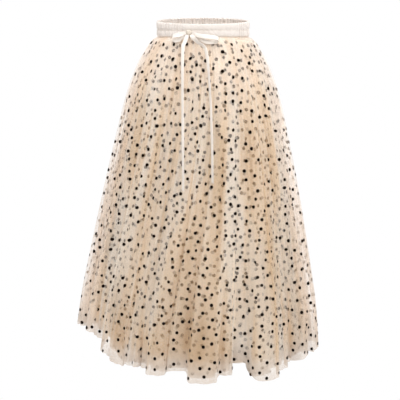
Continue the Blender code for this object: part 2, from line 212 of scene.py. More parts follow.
def listed_mesh(name, vertices, faces):
    """A smooth mesh from lists of points and faces."""
    mesh = bpy.data.meshes.new(name)
    mesh.from_pydata(vertices, [], faces)
    mesh.shade_smooth()
    return mesh


def put_value(mesh, name, values):
    """A number for each point, for the materials to read."""
    attribute = mesh.attributes.new(name, "FLOAT", "POINT")
    attribute.data.foreach_set("value", values.reshape(-1).astype(np.float32))


def add_piece(name, mesh, material, node=None):
    """An object that rides on the one body, with its material, standing for the node it replaces."""
    piece = add_object(name, mesh)
    mesh.materials.append(MATERIALS[material])
    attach(piece, "root")
    if node:
        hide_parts(node)
    return piece


# ---- folds and pleats
class Half:
    """The folds of one half of the skirt, front or back."""

    def __init__(self, side, panel_side, first, folds, last):
        self.side = side
        self.panel_side = panel_side
        self.start_angle = 90.0 * panel_side
        rows = table_arrays(FOLD_COLUMNS, (first, *folds, last))
        self.count = len(rows["width"])
        taken = rows["width"].copy()
        taken[[0, -1]] /= 2
        self.width = rows["width"] * 180.0 / taken.sum()
        starts = np.concatenate([[-self.width[0] / 2], np.cumsum(self.width)[:-1] - self.width[0] / 2])
        self.fold_start = self.start_angle + starts
        self.even_width = 180.0 / (self.count - 1)
        self.reach = rows["reach"]
        self.drop = rows["drop"]

    def faces(self, along):
        """For places along the folds: the fold's index, the step across it, its reach and its drop."""
        index = np.clip(np.floor(along).astype(int), 0, self.count - 1)
        step = along - index
        beside = np.where(step < 0.5, np.maximum(index - 1, 0), np.minimum(index + 1, self.count - 1))
        share = 1 - (1 - np.sin(np.pi * step)) ** FOLD_FLATNESS
        reach, drop = (blend((values[index] + values[beside]) / 2, values[index], share)
                       for values in (self.reach, self.drop))
        return index, step, reach, drop


FRONT = Half("front", -1, LEFT_SIDE_FOLD, FRONT_FOLDS, RIGHT_SIDE_FOLD)
BACK = Half("back", 1, RIGHT_SIDE_FOLD, BACK_FOLDS, LEFT_SIDE_FOLD)

# The three kinds of pleats: their number to a hem fold, how far they wander sideways, how round their
# valleys are (crisp under 1), the share of them that hardly shows, and how much painted shade their valleys
# get.
PLEATS = (
    ("wide", 1.15, 0.22, 1.30, 0.15, 0.55),
    ("narrow", 3.10, 0.28, 1.50, 0.10, 0.42),
    ("crease", 5.90, 0.32, 0.70, 0.30, 0.20),
)
PLEAT_LEVELS = 5
PLEAT_COUNT = 180
PLEAT_MARGIN = 4
PLEAT_DEPTH = 1.25
PLEAT_EVENNESS = 0.7
PLEAT_SEED_STEP = 7
BACK_SEED_STEP = 500
DRIFT_CELLS = (24, 3)
SEAM_CALM = 0.3
PAST_HEM = 1.02


def pleats(half, layer, along, down):
    """The pleats at places: their depth in metres, 0 on the ridges, and their painted shade, 1 deep in a
    valley.
    """
    reference = down * REFERENCE_DROP
    level = np.clip(down * PLEAT_LEVELS, 0, PLEAT_LEVELS - 1e-6)
    row = np.floor(level).astype(int)
    part = eased(level - row)
    first_seed = layer["seed"] + (BACK_SEED_STEP if half is BACK else 0)
    depth, tone = 0.0, 0.0
    for number, (kind, per_fold, drift, roundness, empty, painted_darkening) in enumerate(PLEATS):
        seed = first_seed + PLEAT_SEED_STEP * number
        phase = along * per_fold + (field(along, down, seed, *DRIFT_CELLS) - 0.5) * 2 * drift
        index = np.floor(phase).astype(int) + PLEAT_MARGIN
        heights = np.random.default_rng(seed + 1).random((PLEAT_LEVELS + 1, PLEAT_COUNT))
        heights = np.clip((heights - empty) / (1 - empty), 0, 1) ** PLEAT_EVENNESS
        height = blend(heights[row, index], heights[row + 1, index], part)
        valley = (1 - np.abs(np.cos(np.pi * (phase - np.floor(phase)))) ** roundness) * height
        depth = depth + profile(kind, reference) * valley * PLEAT_DEPTH
        tone = tone + painted_darkening * valley
    return depth, np.clip(tone, 0, 1)


def front_lift(degrees):
    """How far the waist seam is lifted at an angle, most at the front centre."""
    return BAND_FRONT_RISE * np.maximum(0.0, np.cos(np.radians(degrees))) ** 2


def off_seam(half, y):
    """Y kept half a gap off the plane of the side seams, where front and back meet."""
    return np.where(np.abs(y) < SEAM_GAP / 2, half.panel_side * SEAM_GAP / 2, y)


def round_profile(half, reference, angle, out):
    """X and Y at an angle round the profile's ellipse, moved out by a distance."""
    radians = np.radians(angle)
    x = profile("sway", reference) + (profile("half_width", reference) + out) * np.sin(radians)
    y = -(profile("half_depth", reference) + out) * np.cos(radians)
    return x, off_seam(half, y)


# ---- net layers
# net, flock: materials. insets: the profile columns that a layer lies inside the outline by.
# fold_share, pleats: how much of the folds and pleats it takes. sink: how far it starts below the
# seam. steps: columns to a hem fold. end: its share of the drop. dot_area: cloth to a dot.
OUTER = {
    "piece": "outer_net", "node": "outer_tulle", "slot": "outer_tulle", "net": "outer", "flock": "flock",
    "insets": (), "fold_share": 1.0, "sink": 0.0, "pleats": 1.0, "seed": 11, "steps": 32, "rows": 64,
    "end": 1.0, "dot_area": 0.00097, "flat": (1.35, 0.83), "area": 0.78,
}
SECOND = {
    "piece": "second_net", "node": "inner_tulle", "slot": "inner_tulle", "net": "second",
    "flock": "inner_flock", "insets": ("second",), "fold_share": 0.5, "sink": LAYER_SINK, "pleats": 0.5,
    "seed": 31, "steps": 20, "rows": 48, "end": 0.995, "dot_area": 0.00062, "flat": (1.02, 0.82),
    "area": 0.585,
}
PLY = {
    **SECOND, "piece": "second_net_ply", "node": None, "insets": ("second", "ply"),
    "sink": 1.3 * LAYER_SINK, "end": 0.990, "dot_area": 0.00060,
}
ROW_CROWDING = 1.6
NET_TUCK = 0.003
NET_TUCK_IN = 0.992

# Painted light and shade of a net, in random streaks, patches and broad bands that stand in for its small
# folds: the seed that is added to the layer's, the cells to a hem fold, the grid's columns and rows, and
# their strength.
PAINTED_STREAKS = (
    (90, 9.0, 220, 6, 0.30),
    (91, 1.7, 44, 3, 0.90),
    (92, 0.8, 24, 3, 0.85),
)
# How much of the pleats' painted shade goes into the net's painted shading.
PLEAT_PAINTED_SHADE = 0.80
WAIST_REACH = 0.20
CONTRAST, CONTRAST_AT_HEM, CONTRAST_AT_WAIST = 0.80, 0.36, 0.45
# A darker shift of all the painted shading, painted light near the waist, and less painted shade at the hem.
DARKNESS, PALER_AT_WAIST = 0.20, 0.38
PALER_AT_HEM = 0.5
COVER_ON_SLOPES = 0.10
SLOPE_SHARPNESS = 1.2
COVER_BY_TONE = 0.20
MIDDLE_TONE = 0.4
MOST_COVER = 0.97
# Where the net hangs bare past the lining: the masks for painted light at the sides and painted shade at the
# hem.
BARE_SIDES_FROM, BARE_SIDES_OVER = 0.80, 0.13
BARE_HEM_FROM, BARE_HEM_OVER = 0.92, 0.06
# Painted light near the waist, mixed in with the sides' painted light.
WAIST_PAINTED_LIGHT = 0.60
WAIST_PAINTED_LIGHT_REACH = 0.17


def net_surface(half, layer, along, down):
    """Points of a net: along the folds, and down from the waist seam (0) to the hem (1)."""
    along, down = np.broadcast_arrays(along, np.minimum(down, PAST_HEM))
    index, step, reach, drop = half.faces(along)
    reference = down * REFERENCE_DROP
    waist_angle = half.start_angle + (index - 0.5 + step) * half.even_width
    across = step - FOLD_STEEPNESS * np.sin(2 * np.pi * step)
    hem_angle = half.fold_start[index] + half.width[index] * across
    angle = waist_angle + eased(down) * (hem_angle - waist_angle)
    off_side = np.clip(np.minimum(along - 0.5, half.count - 0.5 - along) / SEAM_CALM, 0, 1)
    out = -profile("gather", reference) * np.cos(2 * np.pi * step)
    out = out + layer["fold_share"] * profile("fold", reference) * reach
    out = out - layer["pleats"] * (pleats(half, layer, along, down)[0] * off_side)
    for inset in layer["insets"]:
        out = out - profile(inset, reference)
    x, y = round_profile(half, reference, angle, out)
    z = SEAM_HEIGHT - layer["sink"] + front_lift(angle) * (1 - down) - down * drop
    return np.stack([x, y, z], axis=-1)


def net_cover(points, lower):
    """How dense the net looks: more near the gathered waist and on the folds' slopes."""
    normals = unit(np.cross(np.gradient(points, axis=0), np.gradient(points, axis=1)))
    facing = np.abs((normals * unit(points * (1, 1, 0))).sum(axis=-1))
    slopes = COVER_ON_SLOPES * np.clip(1 - facing, 0, 1) ** SLOPE_SHARPNESS
    return np.clip(profile("cover", lower * REFERENCE_DROP) + slopes, 0, MOST_COVER)


def past_lining(points, lower):
    """How far places lie past the lining, where only net hangs: at the sides, and at the hem. These masks
    carry painted light at the sides and painted shade at the hem.
    """
    drops = lower * REFERENCE_DROP
    across = np.abs(points[..., 0] - profile("sway", drops)) / profile("half_width", drops)
    sides = np.clip((across - BARE_SIDES_FROM) / BARE_SIDES_OVER, 0, 1)
    hem = np.clip((lower - BARE_HEM_FROM) / BARE_HEM_OVER, 0, 1)
    return sides, np.broadcast_to(hem, sides.shape)


def net_tone(half, layer, along, lower):
    """The painted shading of a net's thread, from painted light (0) to painted shade (1): painted shade in
    the pleats' valleys, painted light and shade in streaks and patches, and painted light near the waist.
    """
    tone = PLEAT_PAINTED_SHADE * pleats(half, layer, along, lower)[1]
    for seed, cells, columns, rows, strength in PAINTED_STREAKS:
        values = field(along * cells, lower, layer["seed"] + seed, columns, rows)
        tone = tone + strength * (values - 0.5)
    waist = np.exp(-lower / WAIST_REACH)
    contrast = CONTRAST + CONTRAST_AT_HEM * lower + CONTRAST_AT_WAIST * waist
    # Painted light near the waist; DARKNESS shifts all the painted shading darker.
    return np.clip(contrast * tone + DARKNESS - PALER_AT_WAIST * waist, 0, 1)


def build_net(half, layer):
    """One net panel and its dots."""
    along = np.linspace(0.5, half.count - 0.5, (half.count - 1) * layer["steps"] + 1)
    down = np.linspace(0, 1, layer["rows"] + 1) ** ROW_CROWDING * layer["end"]
    points = net_surface(half, layer, along[None, :], down[:, None])
    tuck = points[:1] * (NET_TUCK_IN, NET_TUCK_IN, 1) + (0, 0, NET_TUCK)
    tucked = np.concatenate([tuck, points])
    lower = np.concatenate([[0], down])[:, None]
    sides, hem = past_lining(tucked, lower)
    # The sides mask carries painted light: at the bare sides, and near the waist.
    sides = np.maximum(sides, WAIST_PAINTED_LIGHT * np.exp(-(lower / WAIST_PAINTED_LIGHT_REACH) ** 2))
    # Painted shading, with less painted shade at the bare hem.
    tone = net_tone(half, layer, along[None, :], lower) * (1 - PALER_AT_HEM * hem)
    cover = np.clip(net_cover(tucked, lower) + COVER_BY_TONE * (tone - MIDDLE_TONE), 0, MOST_COVER)
    name = layer["piece"] + "_" + half.side
    mesh = grid_mesh(name, tucked, cover=cover, sides=sides, hem=hem, tone=tone)
    node = layer["node"] and layer["node"] + "_" + half.side
    piece = add_piece(name, mesh, layer["net"], node)
    return piece, build_dots(half, layer, points, along, down)


# ---- dots
DOT_RADIUS = 0.0043
DOT_SPACING = 0.0190
DOT_SIDES = 12
DOT_TOP = 0.0010
DOT_RINGS = ((0.72, 0.0009), (1.0, 0.0005))
DOT_UNEVEN = (0.92, 1.08)
DOT_STRETCH = 1.15
DOT_TRIES = 14
DOTS_FROM = 0.012
DOTS_TO = 0.992
DOTS_OFF_SEAM = 0.0045
WAIST_DOTS = 0.45
WAIST_DOTS_TO = 0.20
WAIST_DOT_SWELL = 0.08
WAIST_DOT_REACH = 0.25
NUDGE = 1e-4


def scatter(half, layer, points, along, down):
    """Places for the dots, even over the cloth and never too close: (along, down) pairs."""
    downward = points[1:, :-1] - points[:-1, :-1]
    sideways = points[:-1, 1:] - points[:-1, :-1]
    areas = np.linalg.norm(np.cross(downward, sideways), axis=-1)
    target = int(areas.sum() / layer["dot_area"])
    thinner = WAIST_DOTS + (1 - WAIST_DOTS) * np.clip(down[:-1] / WAIST_DOTS_TO, 0, 1)
    weights = (areas * thinner[:, None]).ravel()
    picked = random.choice(weights.size, size=target * DOT_TRIES, p=weights / weights.sum())
    rows, columns = np.unravel_index(picked, areas.shape)
    u, v = random.random(picked.size), random.random(picked.size)
    along_at = along[columns] + u * (along[columns + 1] - along[columns])
    down_at = down[rows] + v * (down[rows + 1] - down[rows])
    places = net_surface(half, layer, along_at, down_at)
    room = (np.abs(places[:, 1]) > DOTS_OFF_SEAM) & (down_at > DOTS_FROM) & (down_at < DOTS_TO)
    kept = places[:0]
    chosen = []
    for index in np.nonzero(room)[0]:
        if len(chosen) >= target:
            break
        if (np.sum((kept - places[index]) ** 2, axis=1) >= DOT_SPACING ** 2).all():
            kept = np.vstack([kept, places[index]])
            chosen.append(index)
    return along_at[chosen], down_at[chosen]


def build_dots(half, layer, points, along, down):
    """Flocked dots: small domed discs that follow the cloth they are on."""
    along_at, down_at = scatter(half, layer, points, along, down)
    here = net_surface(half, layer, along_at, down_at)
    across = (net_surface(half, layer, along_at + NUDGE, down_at) - here) / NUDGE
    below = (net_surface(half, layer, along_at, down_at + NUDGE) - here) / NUDGE
    width = np.linalg.norm(across, axis=1)
    first = across / width[:, None]
    normal = unit(np.cross(below, across))
    second = np.cross(normal, first)
    radius = DOT_RADIUS * random.uniform(*DOT_UNEVEN, len(here))
    radius = radius * (1 + WAIST_DOT_SWELL * np.exp(-down_at / WAIST_DOT_REACH))
    rings = [here + normal * DOT_TOP]
    for share, lift in DOT_RINGS:
        for side in range(DOT_SIDES):
            turn = 2 * math.pi * side / DOT_SIDES
            step_down = radius * share * math.sin(turn) / (below * second).sum(axis=1)
            step_along = radius * share * math.cos(turn) - step_down * (below * first).sum(axis=1)
            beside = np.clip(along_at + step_along / width, 0.5, half.count - 0.5)
            away = net_surface(half, layer, beside, down_at + step_down) - here
            far = np.linalg.norm(away, axis=1)
            away = away * np.minimum(1, DOT_STRETCH * radius * share / far)[:, None]
            rings.append(here + away + normal * lift)
    vertices = np.stack(rings, axis=1)
    inner = np.arange(DOT_SIDES) + 1
    inner_next = np.roll(inner, -1)
    rim, rim_next = inner + DOT_SIDES, inner_next + DOT_SIDES
    corners = ((0 * inner, inner, inner_next), (inner, rim, rim_next), (inner, rim_next, inner_next))
    triangles = np.concatenate([np.stack(three, axis=1) for three in corners])
    base = np.arange(len(here)) * vertices.shape[1]
    faces = (base[:, None, None] + triangles).reshape(-1, 3)
    name = layer["piece"] + "_dots_" + half.side
    mesh = listed_mesh(name, vertices.reshape(-1, 3).tolist(), faces.tolist())
    return add_piece(name, mesh, layer["flock"])


# ---- lining
LINING_STEPS = 420
LINING_ROWS = 44
LINING_TUCK = 0.004
LINING_SEEDS = {"front": 70, "back": 80}
LINING_WAVES, LINING_WAVE_DEPTH = 5, 0.004
SLOW_WAVES, SLOW_WAVE_DEPTH = 14, 0.0030
QUICK_WAVES, QUICK_WAVE_DEPTH = 46, 0.0016
QUICK_AT_WAIST = 0.25
CALM_EDGE = 0.02


def build_lining(half):
    """One lining panel, in soft waves."""
    share = np.linspace(0, 1, LINING_STEPS + 1)[None, :]
    down = (np.linspace(0, 1, LINING_ROWS + 1) ** ROW_CROWDING)[:, None]
    angle = half.start_angle + 180.0 * share
    drops = half.drop[0] + (half.drop[-1] - half.drop[0]) * share
    reference = down * REFERENCE_DROP
    seed = LINING_SEEDS[half.side]
    slow = wander(share * SLOW_WAVES, seed) * SLOW_WAVE_DEPTH
    quick = wander(share * QUICK_WAVES, seed + 1) * QUICK_WAVE_DEPTH
    waves = LINING_WAVE_DEPTH * (np.cos(2 * np.pi * LINING_WAVES * share) - 1) / 2
    hold = np.clip(np.minimum(share, 1 - share) / CALM_EDGE, 0, 1)
    fold = profile("fold", reference)
    out = waves * fold + hold * (slow * fold + quick * (QUICK_AT_WAIST + (1 - QUICK_AT_WAIST) * fold))
    x, y = round_profile(half, reference, angle, out - profile("lining", reference))
    z = SEAM_HEIGHT - 2 * LAYER_SINK + front_lift(angle) * (1 - down) - down * drops
    points = np.stack(np.broadcast_arrays(x, y, z), axis=-1)
    points = np.concatenate([points[:1] + (0, 0, LINING_TUCK), points])
    lower = np.concatenate([[[0]], down])
    name = "satin_lining_" + half.side
    mesh = grid_mesh(name, points, length_down=np.broadcast_to(lower, points.shape[:2]))
    return add_piece(name, mesh, "satin", "lining_" + half.side)


# ---- waistband
GATHER_PITCH = 4.05
GATHER_DRIFT, GATHER_DRIFT_PITCH = 0.35, 3.1
GATHER_COUNT, GATHER_SEED = 97, 5
GATHER_HEIGHT = 0.0034
GATHER_HEIGHTS = (0.45, 1.1)
GATHER_ROUNDNESS = 0.8
SMOOTH_FROM = -21.0
SMOOTH_TO = 47.0
SMOOTH_EDGE = 7.0
SMOOTH_FIRMNESS = 0.30
BAND_STEPS = 760
BAND_SIDE_ROWS = 20
BAND_EDGE_ROUND, BAND_EDGE_LEAST = 0.0012, 0.02
BAND_END_STEPS, BAND_END_LEAST = 12, 0.3
SLOW_PITCH, SLOW_SEED, SLOW_DEPTH = 9.0, 15, 0.0004
QUICK_PITCH, QUICK_SLANT, QUICK_DEPTH = 2.2, 7, 0.00022
RAGGED_TOP, RAGGED_FROM = 0.0004, 0.75
GROOVE_AT, GROOVE_WIDTH = (BAND_GROOVE - BAND_FOOT) / BAND_HEIGHT, 0.040
FOOT_AT, FOOT_WIDTH = 0.055, 0.030
UPPER_BULGE, LOWER_BULGE = 0.0011, 0.0008
GROOVE_PINCH, FOOT_PINCH = 0.55, 0.35
GROOVE_THINS = 0.45
FOOT_PAINTED_SHADE = 0.6

# How much of the front's lift the waistband has at shares of its height.
LIFT_HEIGHTS = (0, 0.24, 0.44, 0.74, 1)
LIFT_SHARES = (1, 0.85, 0.75, 0.25, 0)


def gathered(angle):
    """How gathered the waistband is at an angle: 1 all round but for the flat stretch at the front."""
    turned = (angle + 180.0) % 360.0 - 180.0
    before = np.clip((SMOOTH_FROM - turned) / SMOOTH_EDGE, 0, 1)
    after = np.clip((turned - SMOOTH_TO) / SMOOTH_EDGE, 0, 1)
    return eased(np.maximum(before, after))


def band_gather(angle):
    """The waistband's small gathers, from -1 to 1, uneven in width and height."""
    phase = angle / GATHER_PITCH + GATHER_DRIFT * wander(angle % 360 / GATHER_DRIFT_PITCH, GATHER_SEED)
    number = np.floor(phase + 0.5).astype(int) % GATHER_COUNT
    heights = np.random.default_rng(GATHER_SEED + 1).uniform(*GATHER_HEIGHTS, GATHER_COUNT)
    return 2 * heights[number] * np.abs(np.cos(np.pi * phase)) ** GATHER_ROUNDNESS - 1


def band_section(height_share, firmness):
    """How far the waistband stands out, and how deep its stitched lines are, up its height."""
    groove = np.exp(-((height_share - GROOVE_AT) / GROOVE_WIDTH) ** 2) * firmness
    foot = np.exp(-((height_share - FOOT_AT) / FOOT_WIDTH) ** 2) * firmness
    bulge = UPPER_BULGE * np.sin(np.pi * np.clip((height_share - GROOVE_AT) / (1 - GROOVE_AT), 0, 1))
    bulge = bulge + LOWER_BULGE * np.sin(np.pi * np.clip(height_share / GROOVE_AT, 0, 1))
    return bulge, groove, foot


def build_band(half):
    """Half of the waistband: a casing with two channels of elastic between stitched lines."""
    angle = half.start_angle + 180.0 * np.linspace(0, 1, BAND_STEPS + 1)[None, :]
    share = np.linspace(0, 1, BAND_SIDE_ROWS)[:, None]
    crimp = gathered(angle)
    bulge, groove, foot = band_section(share, SMOOTH_FIRMNESS + (1 - SMOOTH_FIRMNESS) * crimp)
    pinch = 1 - GROOVE_PINCH * groove - FOOT_PINCH * foot
    edge = np.minimum(share, 1 - share) * BAND_HEIGHT / BAND_EDGE_ROUND
    rounding = np.sqrt(np.clip(1 - (1 - np.clip(edge, 0, 1)) ** 2, BAND_EDGE_LEAST, 1))
    half_wall = BAND_WALL / 2 * rounding * (1 - GROOVE_THINS * groove)
    waves = band_gather(angle) * crimp * GATHER_HEIGHT / 2
    slow = wander(angle % 360 / SLOW_PITCH, SLOW_SEED) * SLOW_DEPTH
    tremble = wander(angle % 360 / QUICK_PITCH + QUICK_SLANT * share, SLOW_SEED + 1) * QUICK_DEPTH
    middle = BAND_WALL / 2 + bulge + waves * pinch + slow + tremble
    steps = np.arange(BAND_STEPS + 1)
    end = np.clip(np.minimum(steps, BAND_STEPS - steps) / BAND_END_STEPS, BAND_END_LEAST, 1)
    middle = BAND_WALL / 2 + (middle - BAND_WALL / 2) * end
    rise_share = np.interp(share, LIFT_HEIGHTS, LIFT_SHARES)
    top = np.clip((share - RAGGED_FROM) / (1 - RAGGED_FROM), 0, 1)
    ragged = crimp * band_gather(angle) * RAGGED_TOP * top
    z = BAND_FOOT + share * BAND_HEIGHT + rise_share * front_lift(angle) + ragged
    radians = np.radians(angle)
    faces = []
    for offset in (middle + half_wall, middle - half_wall):
        x = (WAIST_HALF_WIDTH + offset) * np.sin(radians)
        y = off_seam(half, -(WAIST_HALF_DEPTH + offset) * np.cos(radians))
        faces.append(np.stack(np.broadcast_arrays(x, y, z), axis=-1))
    outer, inner = faces
    # Where the casing gets painted shade: along the groove and at the foot.
    crease = groove + FOOT_PAINTED_SHADE * foot
    crease = np.concatenate([crease[::-1], crease])
    name = "casing_" + half.side
    mesh = grid_mesh(name, np.concatenate([outer[::-1], inner]), wrap_down=True, crease=crease)
    piece = add_piece(name, mesh, "casing", "waistband_" + half.side)
    return piece, build_stitches(half, outer, share[:, 0])


STITCH_LENGTH = 0.0022
STITCH_PITCH = 0.0031
STITCH_RADIUS = 0.00028
STITCH_SIDES = 5
STITCH_HEIGHTS = (GROOVE_AT, 0.06)
SEAM_BEFORE, SEAM_AFTER = 0.002, 0.004
OUT_OF_BAND = (1, 1.9, 0)

# A stitch's rings: the place along its length, its thickness, and how far it stands out, in radii.
STITCH_RINGS = ((0.0, 0.25, -0.6), (0.18, 0.85, 0.2), (0.5, 1.0, 0.6), (0.82, 0.85, 0.2), (1.0, 0.25, -0.6))


def stitch_faces():
    """The faces of one stitch: a closed tube of rings."""
    faces = []
    for ring in range(len(STITCH_RINGS) - 1):
        for side in range(STITCH_SIDES):
            a = ring * STITCH_SIDES + side
            b = ring * STITCH_SIDES + (side + 1) % STITCH_SIDES
            faces.append((a, a + STITCH_SIDES, b + STITCH_SIDES, b))
    last = (len(STITCH_RINGS) - 1) * STITCH_SIDES
    faces.append(tuple(range(STITCH_SIDES)))
    faces.append(tuple(last + side for side in reversed(range(STITCH_SIDES))))
    return faces


def build_stitches(half, outer, share):
    """Rows of short stitches along the groove and the foot of the waistband."""
    vertices = []
    for height in STITCH_HEIGHTS:
        line = np.array([[np.interp(height, share, side[:, axis]) for axis in range(3)]
                         for side in outer.transpose(1, 0, 2)])
        lengths = np.concatenate([[0], np.cumsum(np.linalg.norm(np.diff(line, axis=0), axis=1))])
        for start in np.arange(SEAM_BEFORE, lengths[-1] - SEAM_AFTER, STITCH_PITCH):
            marks = start + STITCH_LENGTH * np.array([ring[0] for ring in STITCH_RINGS])
            centre = np.stack([np.interp(marks, lengths, line[:, axis]) for axis in range(3)], 1)
            out = unit(centre[2] * OUT_OF_BAND)
            up = np.cross(unit(centre[-1] - centre[0]), out)
            for point, (_, thick, lift) in zip(centre, STITCH_RINGS):
                for side in range(STITCH_SIDES):
                    turn = 2 * math.pi * side / STITCH_SIDES
                    around = out * math.cos(turn) + up * math.sin(turn)
                    vertices.append(point + STITCH_RADIUS * (out * lift + around * thick))
    size = len(STITCH_RINGS) * STITCH_SIDES
    pattern = stitch_faces()
    faces = [tuple(base + corner for corner in face)
             for base in range(0, len(vertices), size) for face in pattern]
    name = "casing_stitches_" + half.side
    return add_piece(name, listed_mesh(name, vertices, faces), "thread")


# ---- ribbon
RIBBON_WIDTH = 0.0115
RIBBON_WALL = 0.0009
RIBBON_CLEARANCE = 0.0010
RIBBON_STAND = RIBBON_CLEARANCE + RIBBON_WALL / 2
RIBBON_PLACES = 13
RIBBON_PUCKER = 0.0022
RIBBON_EDGE = 0.35
SELVEDGE_FROM, SELVEDGE_TO, SELVEDGE = 0.6, 0.9, 1.25
KNOT_CENTRE = (-0.0343, -0.0015)
KNOT_SIZE = Vector((0.0150, 0.0100, 0.0135))
KNOT_TILT = math.radians(-14)
KNOT_COLUMNS, KNOT_ROWS = 72, 40
KNOT_SHADE = 0.6
KNOT_POLE = np.pi / 2 - 0.02
KNOT_ROUND, KNOT_SWELL, KNOT_HEIGHT_ROUND = 0.75, 0.6, 0.8
KNOT_WIDER, KNOT_SAG = 1.02, 0.12
KNOT_SLANT = 2.2
# The knot's creases: where they turn, how deep and how wide they are.
KNOT_CREASES = ((0.0, 0.22, 0.35), (2.1, 0.14, 0.2))
LOOP_LEAN_AT_KNOT = math.radians(15)
LOOP_LEAN_AT_END = math.radians(50)
LOOP_SWELL = 0.45
LOOP_OPENS = 0.16
LOOP_STEPS, LOOP_CLEAR_PASSES, LOOP_PASSES = 14, 20, 14
LOOP_CUP, LOOP_UNEVEN, LOOP_UNEVEN_TURN = 0.0006, 0.0003, 11
TAIL_STEPS, TAIL_PASSES, TURN_PASSES = 16, 30, 12
TAIL_CUP, TAIL_HOLLOW = 0.0005, 0.0004
TAIL_SETTLING = 0.7
TAIL_OPENS = 0.07
PINCHED_WIDTH = 0.55
TAIL_OVER_LOOP = 0.0062
TAIL_SETTLES = -0.030
TAIL_REACH = 10
BAND_GATHERS_OUT = 0.0012
NET_CLEARANCE = 0.0006
FRONT_SAMPLES = 1400

# Routes of the loops: x, z, and how far the ribbon's middle stands out from where it would lie.
LEFT_LOOP = (
    (-0.0415, -0.0008, 0.0050), (-0.0530, -0.0042, 0.0064), (-0.0635, -0.0062, 0.0084),
    (-0.0705, -0.0082, 0.0086), (-0.0738, -0.0112, 0.0070), (-0.0741, -0.0155, 0.0036),
    (-0.0712, -0.0190, 0.0012), (-0.0650, -0.0205, 0.0004), (-0.0580, -0.0175, 0.0010),
    (-0.0510, -0.0105, 0.0018), (-0.0415, -0.0030, 0.0020),
)
RIGHT_LOOP = (
    (-0.0275, -0.0020, 0.0050), (-0.0130, -0.0068, 0.0064), (0.0060, -0.0088, 0.0084),
    (0.0240, -0.0102, 0.0092), (0.0345, -0.0125, 0.0084), (0.0380, -0.0165, 0.0048),
    (0.0345, -0.0205, 0.0012), (0.0220, -0.0228, 0.0002), (0.0070, -0.0215, 0.0002),
    (-0.0090, -0.0135, 0.0006), (-0.0275, -0.0045, 0.0020),
)
# Routes of the tails: x and z.
LEFT_TAIL = (
    (-0.0385, -0.0060), (-0.0450, -0.0230), (-0.0490, -0.0340), (-0.0500, -0.0700), (-0.0498, -0.1200),
    (-0.0495, -0.1800), (-0.0490, -0.2500), (-0.0484, -0.3200), (-0.0480, -0.3710),
)
RIGHT_TAIL = (
    (-0.0300, -0.0055), (-0.0130, -0.0215), (0.0035, -0.0335), (0.0105, -0.0600), (0.0140, -0.1000),
    (0.0185, -0.1700), (0.0208, -0.2400), (0.0222, -0.3000), (0.0228, -0.3520),
)
LOOPS = (
    ("bow_left", LEFT_LOOP, "bow_loop_left", 0.085),
    ("bow_right", RIGHT_LOOP, "bow_loop_right", 0.145),
)
# The tails' turns are in degrees about their length, at even places from the knot to the end.
TAILS = (
    ("tail_left", LEFT_TAIL, (14, 48, 60, 62, 66), "tie_tail_left", 0.385),
    ("tail_right", RIGHT_TAIL, (26, 52, 64, 62, 66), "tie_tail_right", 0.375),
)


def front_surface(places, reach):
    """How far out the front of the net or the waistband lies near places (x, z)."""
    below = BAND_FOOT + BAND_FRONT_RISE - places[:, 1]
    half_width = WAIST_HALF_WIDTH + BAND_WALL
    half_depth = WAIST_HALF_DEPTH + BAND_WALL + BAND_GATHERS_OUT
    band = half_depth * np.sqrt(1 - (places[:, 0] / half_width) ** 2)
    out = np.where(below < reach, band, 0.0)
    along = np.linspace(2.0, FRONT.count - 2.0, FRONT_SAMPLES)
    drop = FRONT.faces(along)[3]
    for index in np.nonzero(below > 0)[0]:
        points = net_surface(FRONT, OUTER, along, below[index] / drop)
        near = np.abs(points[:, 0] - places[index, 0]) < reach
        out[index] = max(out[index], float((-points[near, 1]).max()) + NET_CLEARANCE)
    return out


def knot_depth():
    """How far out the front lies behind the knot."""
    return front_surface(np.array([KNOT_CENTRE]), 0.001)[0]


def smooth_route(route, steps):
    """Points on a smooth curve through a route's own points."""
    knots = np.array(route)
    padded = np.vstack([knots[:1], knots, knots[-1:]])
    points = []
    for index in range(len(knots) - 1):
        before, start, end, after = padded[index:index + 4]
        for part in np.arange(steps) / steps:
            points.append(
                start + part * (end - before) / 2
                + part ** 2 * (before - 2.5 * start + 2 * end - 0.5 * after)
                + part ** 3 * (-before + 3 * start - 3 * end + after) / 2
            )
    points.append(knots[-1])
    return np.array(points)


def softened(values, passes):
    """Values smoothed along a line, its ends kept."""
    values = values.copy()
    for _ in range(passes):
        values[1:-1] = (values[:-2] + 2 * values[1:-1] + values[2:]) / 4
    return values


def opened_width(share):
    """The ribbon's width: pinched at the knot (0) and full where it has opened (1)."""
    opened = np.clip(share, 0, 1)
    return RIBBON_WIDTH * (PINCHED_WIDTH + (1 - PINCHED_WIDTH) * np.sin(np.pi / 2 * opened))


def ribbon_mesh(name, centre, across, cup, width):
    """A closed ribbon along a line of points: across gives its width direction at each."""
    along = unit(np.gradient(centre, axis=0))
    across = unit(across - (across * along).sum(axis=1)[:, None] * along)
    face = np.cross(across, along)
    pucker = RIBBON_PUCKER * (1 - width / RIBBON_WIDTH)
    outer, inner = [], []
    for place in np.linspace(-1, 1, RIBBON_PLACES):
        bow = cup * (1 - place ** 2) + pucker * np.cos(3 * np.pi * place)
        half_wall = RIBBON_WALL / 2
        if abs(place) == 1:
            half_wall *= RIBBON_EDGE
        if SELVEDGE_FROM < abs(place) < SELVEDGE_TO:
            half_wall *= SELVEDGE
        middle = centre + across * (width / 2 * place)[:, None] + face * bow[:, None]
        outer.append(middle + face * half_wall)
        inner.append(middle - face * half_wall)
    ring = np.stack(outer + inner[::-1])
    mesh = grid_mesh(name, ring, wrap_down=True)
    rows, columns = ring.shape[:2]
    starts = range(0, rows * columns, columns)
    close_ends(mesh, starts, [start + columns - 1 for start in starts])
    return mesh


